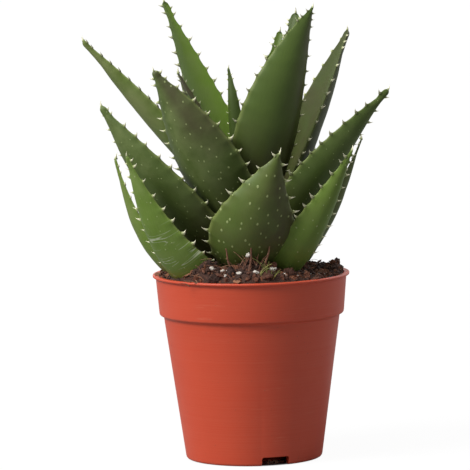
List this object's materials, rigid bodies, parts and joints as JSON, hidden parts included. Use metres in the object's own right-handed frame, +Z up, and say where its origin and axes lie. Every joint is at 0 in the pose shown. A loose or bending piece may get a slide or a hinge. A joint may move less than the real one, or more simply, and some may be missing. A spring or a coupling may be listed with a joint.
{
  "type": "potted aloe plant",
  "caption": "Small toothed aloe in a round tapered nursery pot of terracotta-coloured plastic, with soil, perlite grains and a rosette of thick pointed leaves.",
  "frame": {"origin": "centre of the pot's foot, on the surface that it stands on", "axes": "+Z up through the rosette; the plant's front, as pictured, looks along -Y; +X is to the viewer's right"},
  "size_m": [0.162, 0.1112, 0.243],
  "materials": {
    "terracotta_plastic": "satin moulded polypropylene",
    "potting_soil": "rough crumbly peat",
    "stem_bark": "dull, fibrous",
    "aloe_leaf": "satin waxy leaf with pale spots and teeth",
    "perlite": "chalky",
    "dry_stalk": "dry, matte"
  },
  "bodies": {
    "root": {"pot": "terracotta_plastic", "soil": "potting_soil", "stem": "stem_bark", "leaf_back_inner": "aloe_leaf", "leaf_back_left": "aloe_leaf", "leaf_back_left_low": "aloe_leaf", "leaf_back_left_tall": "aloe_leaf", "leaf_back_middle": "aloe_leaf", "leaf_back_right": "aloe_leaf", "leaf_back_right_low": "aloe_leaf", "leaf_back_right_tall": "aloe_leaf", "leaf_front": "aloe_leaf", "leaf_front_tall": "aloe_leaf", "leaf_heart": "aloe_leaf", "leaf_left_broad": "aloe_leaf", "leaf_left_front": "aloe_leaf", "leaf_left_high": "aloe_leaf", "leaf_left_inner": "aloe_leaf", "leaf_left_low": "aloe_leaf", "leaf_left_outer": "aloe_leaf", "leaf_right_front": "aloe_leaf", "leaf_right_mid": "aloe_leaf", "leaf_right_outer": "aloe_leaf", "leaf_right_tall": "aloe_leaf", "perlite_01": "perlite", "perlite_02": "perlite", "perlite_03": "perlite", "perlite_04": "perlite", "perlite_05": "perlite", "perlite_06": "perlite", "perlite_07": "perlite", "perlite_08": "perlite", "perlite_09": "perlite", "perlite_10": "perlite", "perlite_11": "perlite", "perlite_12": "perlite", "dry_stalk_1": "dry_stalk", "dry_stalk_2": "dry_stalk", "dry_stalk_3": "dry_stalk"}
  },
  "joints": []
}
